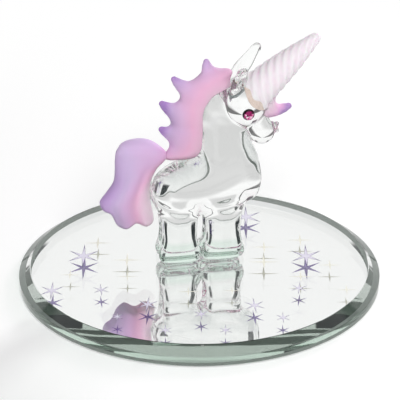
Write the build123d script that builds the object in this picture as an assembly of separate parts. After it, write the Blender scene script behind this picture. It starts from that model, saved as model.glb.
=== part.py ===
from build123d import *
import os
from math import cos, radians, sin, tau

# A torch-worked glass unicorn glued to a round bevelled mirror. Millimetres, +Z up, +X the way it faces.
# The origin is the middle of the underside, on the surface that the mirror lies on.

# Mirror base
MIRROR_DIAMETER = 101.6
GLASS_THICKNESS = 5.0
BEVEL_WIDTH = 3.2
BEVEL_DROP = 2.3
EDGE_ARRIS = 0.3
SILVER_THICKNESS = 0.05
PAINT_THICKNESS = 0.15
COATING_INSET = 0.6
SILVER_MARGIN = 2.6

# Where the figure stands on the mirror and which way it is turned
FIGURE_X = 0.5
FIGURE_Y = 5.5
FIGURE_YAW = 12.0
BOND_THICKNESS = 0.1
BOND_INSET = 0.4

# Torso, an egg-shaped barrel that rises a little towards the chest
TORSO_LENGTH = 30.8
TORSO_DEPTH = 15.6
TORSO_HEIGHT = 17.2
TORSO_TILT = 7.0
TORSO_CENTRE_X = 0.9
TORSO_CENTRE_Z = 21.5

# Legs, as wide columns whose hooves flare on the mirror
LEG_WIDTH = 11.8
LEG_DEPTH = 5.2
LEG_GAP_ACROSS = 0.3
HOOF_FLARE = 0.4
HOOF_HEIGHT = 2.4
LEG_SPREAD_AT_TOP = 0.6
FORE_LEG_AHEAD = 5.75
HIND_LEG_BEHIND = 7.55

# Neck, from deep in the torso to the back of the skull
NECK_BASE_WIDTH = 16.6
NECK_BASE_DEPTH = 13.0
NECK_THROAT_WIDTH = 13.2
NECK_THROAT_DEPTH = 9.0
NECK_BACK_BEHIND = 1.7
NECK_THROAT_DROP = 7.8

# Head, muzzle and nose
HEAD_DIAMETER = 13.5
HEAD_X = 11.8
HEAD_Z = 45.3
MUZZLE_DIAMETER = 7.2
MUZZLE_REACH = 10.6
MUZZLE_DROOP = 59.0
MUZZLE_TAPER = 4.0
NOSE_DIAMETER = 3.4
NOSE_REACH = 2.9
NOSE_RISE = 0.8
LIP_DIAMETER = 1.3

# Ears, as blunt leaves with a hollow front
EAR_LENGTH = {"left": 13.2, "right": 10.0}
EAR_WIDTH = 4.4
EAR_THICKNESS = 2.2
EAR_TIP_WIDTH = 2.2
EAR_HOLLOW_DEPTH = 0.8
EAR_ROOT_BEHIND = 2.5
EAR_ROOT_SPREAD = 3.2
EAR_ROOT_RISE = 5.1
EAR_LEAN_FORWARD = {"left": 40.0, "right": 30.0}
EAR_LEAN_OUT = 15.0
EAR_TURN = 25.0

# Horn, a tapered rod with rounded flutes that was twisted while hot
HORN_LENGTH = 22.4
HORN_BASE_DIAMETER = 10.6
HORN_TIP_DIAMETER = 3.2
HORN_FLUTES = 7
HORN_TURNS = 1.2
HORN_FLUTE_DEPTH = 0.055
HORN_TILT = 40.5
HORN_ROOT_SINK = 2.45

# Forelock, a small curl under the horn
FORELOCK_LENGTH = 8.4
FORELOCK_DIAMETER = 5.0
FORELOCK_TIP_DIAMETER = 1.8
FORELOCK_CURL = 48.0
FORELOCK_DROOP = 24.0

# Mane, a crest along the neck with points pulled out of it
MANE_THICKNESS = 5.8
MANE_REACH = 7.6
MANE_SINK = 3.0
LOCK_LENGTH = 8.5
LOCK_ROOT_DIAMETER = 7.6
LOCK_TIP_DIAMETER = 1.6

# Tail, which rises off the back and falls behind the rump
TAIL_LENGTH = 26.6
TAIL_RISE = 6.8
TAIL_WIDTH = 14.3
TAIL_DEPTH = 8.4
TAIL_FLUTES = 6
TAIL_FLUTE_DEPTH = 0.07

# Eyes, as flat-back crystals on a film of cement
EYE_DIAMETER = 3.45
EYE_HEIGHT = 1.25
EYE_TABLE_SHARE = 0.55
EYE_FACETS = 8
EYE_FORWARD = 0.0
EYE_DOWN = 7.0
CEMENT_FILM = 0.1
CEMENT_DIAMETER = 2.9

GLASS_BOTTOM = PAINT_THICKNESS + SILVER_THICKNESS
GLASS_TOP = GLASS_BOTTOM + GLASS_THICKNESS
MIRROR_RADIUS = MIRROR_DIAMETER / 2
HEAD_RADIUS = HEAD_DIAMETER / 2
FIGURE_PLACE = Location((FIGURE_X, FIGURE_Y, GLASS_TOP + BOND_THICKNESS), (0, 0, FIGURE_YAW))
LEG_Y = (LEG_DEPTH + LEG_GAP_ACROSS) / 2
FORE_LEG_X = TORSO_CENTRE_X + FORE_LEG_AHEAD
HIND_LEG_X = TORSO_CENTRE_X - HIND_LEG_BEHIND
NECK_BACK_X = TORSO_CENTRE_X - NECK_BACK_BEHIND
NECK_LEAN = HEAD_X - NECK_BACK_X
RUMP_X = TORSO_CENTRE_X - TORSO_LENGTH / 2
BACK_Z = TORSO_CENTRE_Z + TORSO_HEIGHT / 2
POLL_Z = HEAD_Z + HEAD_RADIUS
SIDES = {"left": 1, "right": -1}


def disc(radius, bottom, thickness):
    return Pos(0, 0, bottom) * extrude(Circle(radius), thickness)


def make_mirror_plate():
    """Round plate: a flat top, a sloping bevel, a vertical land and a fine arris below."""
    land_top = GLASS_TOP - BEVEL_DROP
    profile = Polyline(
        (0, GLASS_BOTTOM),
        (MIRROR_RADIUS - EDGE_ARRIS, GLASS_BOTTOM),
        (MIRROR_RADIUS, GLASS_BOTTOM + EDGE_ARRIS),
        (MIRROR_RADIUS, land_top),
        (MIRROR_RADIUS - BEVEL_WIDTH, GLASS_TOP),
        (0, GLASS_TOP),
        close=True,
    )
    return revolve(Plane.XZ * make_face(profile), Axis.Z)


def make_backing_paint(paint_radius, silver_radius):
    """The coat that the mirror rests on. It comes up round the edge of the silver and seals it."""
    coat = disc(paint_radius, 0, GLASS_BOTTOM)
    return coat - disc(silver_radius, PAINT_THICKNESS, SILVER_THICKNESS)


def ellipse_at(x, y, z, width, depth):
    return Pos(x, y, z) * Ellipse(width / 2, depth / 2)


def make_torso():
    barrel = scale(Sphere(1), by=(TORSO_LENGTH / 2, TORSO_DEPTH / 2, TORSO_HEIGHT / 2))
    return Pos(TORSO_CENTRE_X, 0, TORSO_CENTRE_Z) * Rot(Y=-TORSO_TILT) * barrel


def make_leg(x, y, outward):
    """A column that flares at the hoof, narrows at the shin and spreads into the torso."""
    top = TORSO_CENTRE_Z - TORSO_HEIGHT / 4
    knee = TORSO_CENTRE_Z - TORSO_HEIGHT / 2
    hoof_width = LEG_WIDTH + 2 * HOOF_FLARE
    shift = outward * LEG_SPREAD_AT_TOP / 2
    sections = [
        ellipse_at(x, y, 0, hoof_width, LEG_DEPTH),
        ellipse_at(x, y, HOOF_HEIGHT / 2, hoof_width, LEG_DEPTH),
        ellipse_at(x, y, HOOF_HEIGHT, LEG_WIDTH + HOOF_FLARE, LEG_DEPTH),
        ellipse_at(x, y, (HOOF_HEIGHT + knee) / 2, LEG_WIDTH, LEG_DEPTH),
        ellipse_at(x + shift / 2, y, knee, LEG_WIDTH + LEG_SPREAD_AT_TOP / 2, LEG_DEPTH),
        ellipse_at(x + shift, y, top, LEG_WIDTH + LEG_SPREAD_AT_TOP, LEG_DEPTH),
    ]
    return loft(sections)


def make_neck():
    """Broad at the chest, narrow at the throat, and rounded over behind the skull."""
    base_z = TORSO_CENTRE_Z + TORSO_HEIGHT / 8
    throat_z = HEAD_Z - NECK_THROAT_DROP
    skull_top = HEAD_Z + 0.86 * HEAD_RADIUS
    # Height, width, depth and how far the back edge has moved forward, as a share of the neck's lean
    stations = [
        (base_z, 0.95 * NECK_BASE_WIDTH, NECK_BASE_DEPTH, 0),
        (base_z + 0.40 * (throat_z - base_z), NECK_BASE_WIDTH, 0.86 * NECK_BASE_DEPTH, 0),
        (throat_z, NECK_THROAT_WIDTH, NECK_THROAT_DEPTH, 0.02),
        (HEAD_Z - 0.1 * HEAD_RADIUS, 0.90 * NECK_THROAT_WIDTH, 0.98 * NECK_THROAT_DEPTH, 0.06),
        (HEAD_Z + 0.42 * HEAD_RADIUS, 0.70 * NECK_THROAT_WIDTH, 0.84 * NECK_THROAT_DEPTH, 0.21),
        (skull_top - 0.06 * HEAD_RADIUS, 0.42 * NECK_THROAT_WIDTH, 0.50 * NECK_THROAT_DEPTH, 0.41),
        (skull_top, 0.20 * NECK_THROAT_WIDTH, 0.24 * NECK_THROAT_DEPTH, 0.55),
    ]
    sections = []
    for height, width, depth, lean in stations:
        centre_x = NECK_BACK_X + lean * NECK_LEAN + width / 2
        sections.append(ellipse_at(centre_x, 0, height, width, depth))
    return loft(sections)


def make_head():
    return Pos(HEAD_X, 0, HEAD_Z) * Sphere(HEAD_RADIUS)


def make_muzzle():
    """A drop that leaves the head downwards, with a nose knob and two soft lips on its end."""
    radius = MUZZLE_DIAMETER / 2
    root = HEAD_RADIUS / 2
    stem = Pos(0, 0, root) * extrude(Circle(1.08 * radius), MUZZLE_REACH - root, taper=MUZZLE_TAPER)
    drop = stem + Pos(0, 0, MUZZLE_REACH) * Sphere(radius)
    muzzle = Pos(HEAD_X, 0, HEAD_Z) * Rot(Y=90 + MUZZLE_DROOP) * drop
    centre_x = HEAD_X + MUZZLE_REACH * cos(radians(MUZZLE_DROOP))
    centre_z = HEAD_Z - MUZZLE_REACH * sin(radians(MUZZLE_DROOP))
    nose_x = centre_x + NOSE_REACH
    nose_z = centre_z + NOSE_RISE
    muzzle += Pos(nose_x, 0, nose_z) * Rot(Y=90) * Sphere(NOSE_DIAMETER / 2)
    lip_x = nose_x + 0.42 * NOSE_DIAMETER
    for height in (0.3 * NOSE_DIAMETER, -0.3 * NOSE_DIAMETER):
        muzzle += Pos(lip_x, 0, nose_z + height) * Rot(Y=90) * Sphere(LIP_DIAMETER / 2)
    return muzzle


def make_ear(name):
    """A blunt leaf, hollowed on the side that looks forwards and out."""
    ear_length = EAR_LENGTH[name]
    # Share of the length, width and thickness along the ear
    stations = [
        (-0.12, 0.80 * EAR_WIDTH, EAR_THICKNESS),
        (0.10, 0.94 * EAR_WIDTH, EAR_THICKNESS),
        (0.38, EAR_WIDTH, EAR_THICKNESS),
        (0.70, 0.5 * (EAR_WIDTH + EAR_TIP_WIDTH), 0.9 * EAR_THICKNESS),
        (0.94, EAR_TIP_WIDTH, 0.75 * EAR_THICKNESS),
        (1.00, 0.55 * EAR_TIP_WIDTH, 0.45 * EAR_THICKNESS),
    ]
    leaf = loft([ellipse_at(0, 0, share * ear_length, width, depth) for share, width, depth in stations])
    scoop = scale(Sphere(1), by=(0.31 * EAR_WIDTH, EAR_HOLLOW_DEPTH, 0.33 * ear_length))
    leaf -= Pos(0, EAR_THICKNESS / 2, 0.5 * ear_length) * scoop
    turned = Rot(X=-EAR_LEAN_OUT) * Rot(Y=EAR_LEAN_FORWARD[name]) * Rot(Z=-EAR_TURN) * leaf
    ear = Pos(HEAD_X - EAR_ROOT_BEHIND, EAR_ROOT_SPREAD, HEAD_Z + EAR_ROOT_RISE) * turned
    return ear if SIDES[name] > 0 else mirror(ear, Plane.XZ)


def horn_section(share):
    """A round-lobed outline whose lobes have turned further, left-handed, the nearer it is to the tip."""
    diameter = HORN_BASE_DIAMETER + share * (HORN_TIP_DIAMETER - HORN_BASE_DIAMETER)
    depth = HORN_FLUTE_DEPTH * (1 - 0.5 * share)
    twist = -tau * HORN_TURNS * share
    count = 6 * HORN_FLUTES
    points = []
    for step in range(count):
        angle = tau * step / count
        radius = diameter / 2 * (1 - depth + depth * cos(HORN_FLUTES * (angle - twist)))
        points.append((radius * cos(angle), radius * sin(angle)))
    return Pos(0, 0, share * HORN_LENGTH) * make_face(Spline(*points, periodic=True))


def make_horn():
    count = round(20 * HORN_TURNS)
    rod = loft([horn_section(step / count) for step in range(count + 1)])
    tip = Pos(0, 0, HORN_LENGTH) * Sphere(0.46 * HORN_TIP_DIAMETER)
    horn = Pos(0, 0, HEAD_RADIUS - HORN_ROOT_SINK) * (rod + tip)
    return Pos(HEAD_X, 0, HEAD_Z) * Rot(Y=90 - HORN_TILT) * horn


def make_forelock():
    """A curl that leaves the brow forwards and turns up at its end."""
    radius = FORELOCK_LENGTH / radians(FORELOCK_CURL)
    sections = []
    count = 6
    for step in range(count + 1):
        share = step / count
        angle = FORELOCK_CURL * share
        size = FORELOCK_DIAMETER + share * (FORELOCK_TIP_DIAMETER - FORELOCK_DIAMETER)
        x = radius * sin(radians(angle))
        z = radius * (1 - cos(radians(angle)))
        sections.append(Pos(x, 0, z) * Rot(Y=90 - angle) * Circle(size / 2))
    tip_size = 0.48 * FORELOCK_TIP_DIAMETER
    curl = loft(sections) + Pos(x, 0, z) * Sphere(tip_size)
    root = Pos(HEAD_X + 0.72 * HEAD_RADIUS, 0, HEAD_Z - 0.33 * HEAD_RADIUS)
    return root * Rot(Y=FORELOCK_DROOP) * curl


def crest_point(height_share, lean):
    """A point on the neck's back edge: height from the back to the poll, and how far it leans forward."""
    return NECK_BACK_X + lean * NECK_LEAN, BACK_Z + height_share * (POLL_Z - BACK_Z)


def make_lock(height_share, lean, rise_angle, length):
    """One point pulled out of the mane: a taper that sags a little and ends round."""
    root_x, root_z = crest_point(height_share, lean)
    back, up = -cos(radians(rise_angle)), sin(radians(rise_angle))
    sag = 0.08 * length
    count = 6
    sections = []
    for step in range(count + 1):
        share = step / count
        along = share * length
        dip = 4 * sag * share * (1 - share)
        slope = 4 * sag * (1 - 2 * share) / length
        x = root_x + along * back - dip * up
        z = root_z + along * up + dip * back
        taper = (1 - share) ** 1.4
        size = LOCK_TIP_DIAMETER + taper * (LOCK_ROOT_DIAMETER - LOCK_TIP_DIAMETER)
        across = LOCK_TIP_DIAMETER + taper * (0.8 * MANE_THICKNESS - LOCK_TIP_DIAMETER)
        plane = Plane((x, 0, z), x_dir=(0, 1, 0), z_dir=(back - slope * up, 0, up + slope * back))
        sections.append(plane * Ellipse(across / 2, size / 2))
    return loft(sections) + Pos(x, 0, z) * Sphere(0.49 * LOCK_TIP_DIAMETER)


def make_mane():
    """A crest from the poll down the neck to the back, with four points pulled out of it."""
    # Height share, lean, reach behind the neck, sink into the neck, and thickness, as shares of their sizes
    stations = [
        (-0.07, 0.0, 1.13, -0.7, 0.60),
        (0.02, 0.0, 1.26, 0.3, 0.90),
        (0.13, 0.0, 1.10, 0.9, 1.0),
        (0.27, 0.0, 1.0, 1.0, 1.0),
        (0.45, 0.0, 1.0, 1.0, 1.0),
        (0.61, 0.02, 0.95, 1.0, 1.0),
        (0.77, 0.10, 0.87, 1.0, 1.0),
        (0.91, 0.25, 0.92, 1.0, 1.0),
        (1.03, 0.43, 0.92, 1.0, 0.94),
        (1.12, 0.56, 0.79, 0.85, 0.76),
        (1.17, 0.59, 0.50, 0.6, 0.42),
    ]
    sections = []
    for height_share, lean, reach, sink, thickness in stations:
        x, z = crest_point(height_share, lean)
        rear = x - reach * MANE_REACH
        front = x + sink * MANE_SINK
        sections.append(ellipse_at((rear + front) / 2, 0, z, front - rear, thickness * MANE_THICKNESS))
    mane = loft(sections)
    mane += make_lock(0.925, 0.43, 68, LOCK_LENGTH)
    mane += make_lock(0.845, 0.095, 33, 1.12 * LOCK_LENGTH)
    mane += make_lock(0.59, -0.205, 27, LOCK_LENGTH)
    mane += make_lock(0.295, -0.22, 19, 0.95 * LOCK_LENGTH)
    return mane


def make_tail():
    """A flowing lock: a rounded crown, a slight waist and a wide fluted end."""
    # Share of the length, edges behind and ahead of the rump as shares of the width, and depth
    stations = [
        (0.0, 0.36, -0.10, 0.22),
        (0.026, 0.50, 0.01, 0.48),
        (0.10, 0.64, 0.20, 0.74),
        (0.215, 0.685, 0.34, 0.84),
        (0.335, 0.69, 0.15, 0.88),
        (0.485, 0.735, 0.015, 0.92),
        (0.59, 0.87, -0.015, 0.98),
        (0.69, 1.0, -0.005, 1.0),
        (0.795, 0.915, 0.03, 1.0),
        (0.89, 0.75, 0.055, 0.96),
        (0.965, 0.65, 0.065, 0.8),
        (1.0, 0.565, -0.005, 0.5),
    ]
    count = 4 * TAIL_FLUTES
    sections = []
    for fall, behind, ahead, depth_share in stations:
        centre_x = RUMP_X + (ahead - behind) / 2 * TAIL_WIDTH
        half_width = (ahead + behind) / 2 * TAIL_WIDTH
        half_depth = depth_share * TAIL_DEPTH / 2
        points = []
        for step in range(count):
            angle = tau * step / count
            flute = 1 + TAIL_FLUTE_DEPTH * fall * cos(TAIL_FLUTES * angle)
            points.append((centre_x + half_width * flute * cos(angle), half_depth * flute * sin(angle)))
        outline = make_face(Spline(*points, periodic=True))
        sections.append(Pos(0, 0, BACK_Z + TAIL_RISE - fall * TAIL_LENGTH) * outline)
    return loft(sections)


def eye_axis_place(side):
    """The place on the head where a crystal sits, with its local Z pointing out of the head."""
    across = 90 - EYE_FORWARD
    return Pos(HEAD_X, 0, HEAD_Z) * Rot(Z=side * across) * Rot(Y=90 + EYE_DOWN)


def ring(radius, height, count, turn):
    return [
        (radius * cos(tau * (step + turn) / count), radius * sin(tau * (step + turn) / count), height)
        for step in range(count)
    ]


def make_eye_crystal(side):
    """Flat back, sixteen-sided girdle, one row of kite facets and a flat table."""
    radius = EYE_DIAMETER / 2
    girdle = 0.22 * EYE_HEIGHT
    corners = ring(radius, 0, 2 * EYE_FACETS, 0) + ring(radius, girdle, 2 * EYE_FACETS, 0)
    corners += ring(0.84 * radius, 0.66 * EYE_HEIGHT, EYE_FACETS, 0.5)
    corners += ring(EYE_TABLE_SHARE * radius, EYE_HEIGHT, EYE_FACETS, 0)
    crystal = ConvexPolyhedron(corners)
    return eye_axis_place(side) * Pos(0, 0, HEAD_RADIUS + CEMENT_FILM) * crystal


def make_eye_cement(side):
    """Fills the space between the round head and the flat back of the crystal."""
    length = HEAD_RADIUS + CEMENT_FILM
    pin = extrude(Circle(CEMENT_DIAMETER / 2), length)
    return eye_axis_place(side) * pin - make_head()


def make_hoof_adhesive():
    pads = []
    for x in (FORE_LEG_X, HIND_LEG_X):
        for side in SIDES.values():
            width = LEG_WIDTH + 2 * HOOF_FLARE - 2 * BOND_INSET
            pad = ellipse_at(x, side * LEG_Y, -BOND_THICKNESS, width, LEG_DEPTH - 2 * BOND_INSET)
            pads.append(extrude(pad, BOND_THICKNESS))
    return Compound(children=pads)


def make_figure():
    """All the pieces of the unicorn in its own frame, each cut to seat on the larger ones."""
    torso = make_torso()
    head = make_head()
    neck = make_neck() - torso - head
    pieces = {"torso": torso, "neck": neck, "head": head}
    muzzle = make_muzzle() - head - neck
    pieces["muzzle"] = muzzle
    horn = make_horn() - head
    pieces["horn"] = horn
    for name, side in SIDES.items():
        pieces[f"fore_leg_{name}"] = make_leg(FORE_LEG_X, side * LEG_Y, 1) - torso
        pieces[f"hind_leg_{name}"] = make_leg(HIND_LEG_X, side * LEG_Y, -1) - torso
        pieces[f"ear_{name}"] = make_ear(name) - head - neck - horn
        pieces[f"eye_crystal_{name}"] = make_eye_crystal(side)
        pieces[f"eye_cement_{name}"] = make_eye_cement(side)
    pieces["forelock"] = make_forelock() - head - horn - muzzle
    mane = make_mane() - neck - head - torso
    pieces["mane"] = mane
    pieces["tail"] = make_tail() - torso - mane
    pieces["hoof_adhesive"] = make_hoof_adhesive()
    return pieces


def main():
    os.makedirs("parts", exist_ok=True)
    paint_radius = MIRROR_RADIUS - EDGE_ARRIS - COATING_INSET
    silver_radius = paint_radius - SILVER_MARGIN
    pieces = {
        "mirror_plate": make_mirror_plate(),
        "mirror_silvering": disc(silver_radius, PAINT_THICKNESS, SILVER_THICKNESS),
        "backing_paint": make_backing_paint(paint_radius, silver_radius),
    }
    for name, piece in make_figure().items():
        pieces[name] = FIGURE_PLACE * piece
    for name, piece in pieces.items():
        export_step(piece, f"parts/{name}.step")


main()
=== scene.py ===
from math import cos, hypot, pi, radians, sin, tau

import bmesh
import bpy
import numpy as np
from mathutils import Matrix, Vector


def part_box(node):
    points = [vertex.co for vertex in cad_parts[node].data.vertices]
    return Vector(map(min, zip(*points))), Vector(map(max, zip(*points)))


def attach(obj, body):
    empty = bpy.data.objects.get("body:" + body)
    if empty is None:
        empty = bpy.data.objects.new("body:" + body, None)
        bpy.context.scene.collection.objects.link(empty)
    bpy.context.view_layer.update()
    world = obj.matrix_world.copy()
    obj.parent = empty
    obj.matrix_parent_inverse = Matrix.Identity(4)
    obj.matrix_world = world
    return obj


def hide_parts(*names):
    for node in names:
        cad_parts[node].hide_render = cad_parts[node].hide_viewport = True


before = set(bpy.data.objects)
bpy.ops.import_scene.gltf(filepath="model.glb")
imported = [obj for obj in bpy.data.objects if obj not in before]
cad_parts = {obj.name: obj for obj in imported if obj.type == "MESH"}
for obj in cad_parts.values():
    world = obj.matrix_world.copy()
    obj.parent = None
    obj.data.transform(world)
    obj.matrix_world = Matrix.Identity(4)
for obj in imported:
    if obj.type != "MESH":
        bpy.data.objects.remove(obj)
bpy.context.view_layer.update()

# The dressed glass unicorn on its mirror. Shapes of the figure are written in millimetres in the
# figure's own frame: x the way it faces, y to its left, z up from its soles. They are put into the
# row frame in metres.

MM = 0.001

# Where the figure stands, from the adhesive under its hooves
FIGURE_YAW = radians(12.0)
PADS_MIDDLE_X = 0.0
pads_low, pads_high = (np.array(corner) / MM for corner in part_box("hoof_adhesive"))
SEAT_Z = pads_high[2]
YAW_TURN = np.array([
    [cos(FIGURE_YAW), -sin(FIGURE_YAW), 0],
    [sin(FIGURE_YAW), cos(FIGURE_YAW), 0],
    [0, 0, 1],
])
FIGURE_ORIGIN = (pads_low + pads_high) / 2 - YAW_TURN @ np.array([PADS_MIDDLE_X, 0, 0])
FIGURE_ORIGIN[2] = SEAT_Z

# Grid size of the meshed glass, in millimetres
CELL = 0.3
FINE_CELL = 0.22

# Clear body
TORSO_CENTRE = (0.9, 0, 21.5)
TORSO_RADII = (15.4, 8.6)
TORSO_TILT = 7.0
BODY_EDGE = 5.0
FLAT_POWER = 2.2
LEG_POWER = 2.6
LEG_X = {"fore": 5.9, "hind": -6.7}
LEG_Y = 2.75
# Between these heights the legs pass into the torso
LEG_JOIN = (9.0, 16.0)
HEAD_CENTRE = np.array([11.8, 0, 45.3])
HEAD_RADIUS = 6.75
SKULL_CENTRE = (6.5, 0, 44.0)
SKULL_RADII = (6.9, 7.3)
MUZZLE_DROOP = radians(59.0)
MUZZLE_ROOT = 3.4
MUZZLE_REACH = 10.6
MUZZLE_ROOT_RADIUS = 3.9
MUZZLE_RADIUS = 3.6
NOSE_OFFSET = np.array([2.9, 0, 0.8])
NOSE_RADIUS = 1.7
LIP_FORWARD = 1.43
LIP_RISE = 1.02
LIP_RADIUS = 0.65

# Ears: place of the root, and the leaf along its length
EAR_ROOT = np.array([9.3, 3.2, 50.4])
EAR_LENGTH = {"left": 13.2, "right": 7.4}
EAR_BREADTH = {"left": 1.0, "right": 1.2}
EAR_LEAN_OUT = -15.0
EAR_LEAN_FORWARD = {"left": 40.0, "right": 12.0}
EAR_TURN = -25.0
SIDES = {"left": 1, "right": -1}
# Share of the length, half width and half thickness along an ear
EAR_STATIONS = (
    (-0.12, 1.76, 1.1),
    (0.10, 2.07, 1.1),
    (0.38, 2.2, 1.1),
    (0.70, 1.65, 1.0),
    (0.94, 1.1, 0.82),
    (1.0, 0.7, 0.55),
)

# Horn
HORN_TILT = 40.5
HORN_ROOT = 4.3
HORN_LENGTH = 22.4
HORN_BASE_RADIUS = 5.3
HORN_TIP_RADIUS = 1.6
HORN_BELLY = 0.5
HORN_FLUTES = 7
HORN_TURNS = 1.2
HORN_FLUTE_DEPTH = 0.045
HORN_FLARE = 0.7
HORN_FLARE_LENGTH = 4.0
HORN_SEAT_DEPTH = 0.3

# Forelock
FORELOCK_ROOT = np.array([16.66, 0, 43.07])
FORELOCK_LENGTH = 8.4
FORELOCK_CURL = radians(48.0)
FORELOCK_DROOP = 24.0
FORELOCK_ROOT_RADIUS = 2.5
FORELOCK_TIP_RADIUS = 0.9
FORELOCK_COLLAR = np.array([18.7, 0, 43.9])
FORELOCK_COLLAR_RADIUS = 2.3
FORELOCK_LAP = 0.02

# How far the frosted glass is fused into the clear glass
FUSE_DEPTH = 0.3


def hex_colour(code):
    """Linear colour from a hex code in sRGB."""
    channels = [int(code[i:i + 2], 16) / 255 for i in (1, 3, 5)]
    linear = [c / 12.92 if c <= 0.04045 else ((c + 0.055) / 1.055) ** 2.4 for c in channels]
    return (*linear, 1.0)


# Distance fields: each takes an array of points and gives how far outside the form they are


def length(vectors):
    return np.sqrt((vectors ** 2).sum(axis=1))


def smooth_union(a, b, radius):
    share = np.clip(0.5 + 0.5 * (b - a) / radius, 0, 1)
    return b + (a - b) * share - radius * share * (1 - share)


def smooth_overlap(a, b, radius):
    return -smooth_union(-a, -b, radius)


def smooth_cut(a, b, radius):
    return smooth_overlap(a, -b, radius)


def turn_about(axis, degrees):
    c, s = cos(radians(degrees)), sin(radians(degrees))
    turns = {
        "x": [[1, 0, 0], [0, c, -s], [0, s, c]],
        "y": [[c, 0, s], [0, 1, 0], [-s, 0, c]],
        "z": [[c, -s, 0], [s, c, 0], [0, 0, 1]],
    }
    return np.array(turns[axis])


def scaled_distance(normalised, radii, power=2.0):
    """Near-true distance to an ellipse from points divided by its radii.

    A higher power gives flatter sides."""
    size = np.maximum(np.abs(normalised), 1e-4)
    inside = (size ** power).sum(axis=1) ** (1 / power)
    slope = length((size / inside[:, None]) ** (power - 1) / radii)
    return (inside - 1) / slope


def ellipsoid(points, centre, radii):
    radii = np.array(radii)
    return scaled_distance((points - np.array(centre)) / radii, radii)


def profile_ellipse(points, centre, radii, tilt=0.0):
    """An ellipse in the profile plane, as (x, z), endless across it."""
    local = (points - np.array(centre)) @ turn_about("y", -tilt)
    return scaled_distance(local[:, [0, 2]] / np.array(radii), np.array(radii))


def profile_band(points, stations, end_round):
    """An upright band in the profile plane. Each station is (height, centre x, half width)."""
    heights, centres, widths = np.array(stations).T
    z = points[:, 2]
    side = np.abs(points[:, 0] - through(heights, centres, z)) - through(heights, widths, z)
    return smooth_overlap(side, np.maximum(heights[0] - z, z - heights[-1]), end_round)


def cushion(points, profile, edge, half_depth, power):
    """A slab with a given profile whose faces round off towards its edge."""
    from_middle = np.stack([np.clip(1 + profile / edge, 0, None), points[:, 1] / half_depth], axis=1)
    radii = np.stack([np.full_like(half_depth, edge), half_depth], axis=1)
    return scaled_distance(from_middle, radii, power)


def sphere(points, centre, radius):
    return length(points - centre) - radius


def round_cone(points, start, end, start_radius, end_radius):
    """A rod between two balls of different size."""
    along = end - start
    share = np.clip((points - start) @ along / (along @ along), 0, 1)
    nearest = start + share[:, None] * along
    return length(points - nearest) - (start_radius + share * (end_radius - start_radius))


def rod_chain(points, path, radii, blend):
    """Rods from point to point along a path, run together."""
    field = None
    for i in range(len(path) - 1):
        rod = round_cone(points, path[i], path[i + 1], radii[i], radii[i + 1])
        field = rod if field is None else smooth_union(field, rod, blend)
    return field


def through(knots, values, at):
    """A smooth curve through values at rising knots, level beyond both ends."""
    knots, values = np.array(knots), np.array(values)
    at = np.clip(at, knots[0], knots[-1])
    i = np.clip(np.searchsorted(knots, at) - 1, 0, len(knots) - 2)
    step = knots[i + 1] - knots[i]
    t = (at - knots[i]) / step
    slopes = np.gradient(values, knots)
    start = (1 + 2 * t) * (1 - t) ** 2 * values[i] + t * (1 - t) ** 2 * step * slopes[i]
    return start + t ** 2 * (3 - 2 * t) * values[i + 1] + t ** 2 * (t - 1) * step * slopes[i + 1]


def column(points, stations, end_round, power=2.0):
    """An upright elliptic column. Each station is (height, centre x, half width, half depth)."""
    heights, centres, widths, depths = np.array(stations).T
    z = points[:, 2]
    half = np.stack([through(heights, widths, z), through(heights, depths, z)], axis=1)
    offset = np.stack([points[:, 0] - through(heights, centres, z), points[:, 1]], axis=1)
    side = scaled_distance(offset / half, half, power)
    ends = np.maximum(heights[0] - z, z - heights[-1])
    return smooth_overlap(side, ends, end_round)


LEG_STATIONS = (
    (0.0, -0.35, 5.9, 2.6),
    (1.0, -0.25, 6.1, 2.7),
    (2.4, -0.2, 6.05, 2.7),
    (4.6, 0.0, 5.2, 2.6),
    (7.8, 0.0, 4.8, 2.6),
    (12.9, 0.1, 5.4, 2.8),
    (18.5, 0.3, 6.2, 3.2),
)
# Neck as (height, centre x, half width), and half the depth of torso and neck by height
NECK_STATIONS = (
    (18.0, 7.1, 7.6),
    (24.0, 7.2, 8.1),
    (29.2, 7.5, 8.3),
    (37.5, 6.05, 6.6),
    (44.6, 5.9, 5.94),
)
BODY_DEPTHS = ((8.0, 5.5), (13.0, 6.1), (18.0, 6.7), (24.0, 7.0), (31.0, 6.3), (38.0, 5.2), (45.0, 4.4), (52.0, 3.6))


def leg_field(points, name, side):
    outward = 1 if name == "fore" else -1
    local = (points - np.array([LEG_X[name], side * LEG_Y, 0])) * np.array([outward, 1, 1])
    return column(local, LEG_STATIONS, 0.5, LEG_POWER)


def leg_profile(points, name):
    outward = 1 if name == "fore" else -1
    local = (points - np.array([LEG_X[name], 0, 0])) * np.array([outward, 1, 1])
    return profile_band(local, [station[:3] for station in LEG_STATIONS], 0.5)


def ear_field(points, name):
    ear_length = EAR_LENGTH[name]
    leaf_stations = [
        (share * ear_length, 0, EAR_BREADTH[name] * half_width, half_depth)
        for share, half_width, half_depth in EAR_STATIONS
    ]
    leaned = turn_about("x", EAR_LEAN_OUT) @ turn_about("y", EAR_LEAN_FORWARD[name])
    turn = leaned @ turn_about("z", EAR_TURN)
    local = (points * np.array([1, SIDES[name], 1]) - EAR_ROOT) @ turn
    leaf = column(local, leaf_stations, 1.0)
    scoop = ellipsoid(local, (0, 1.15, 0.5 * ear_length), (1.36, 0.85, 0.36 * ear_length))
    return smooth_cut(leaf, scoop, 0.5)


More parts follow.
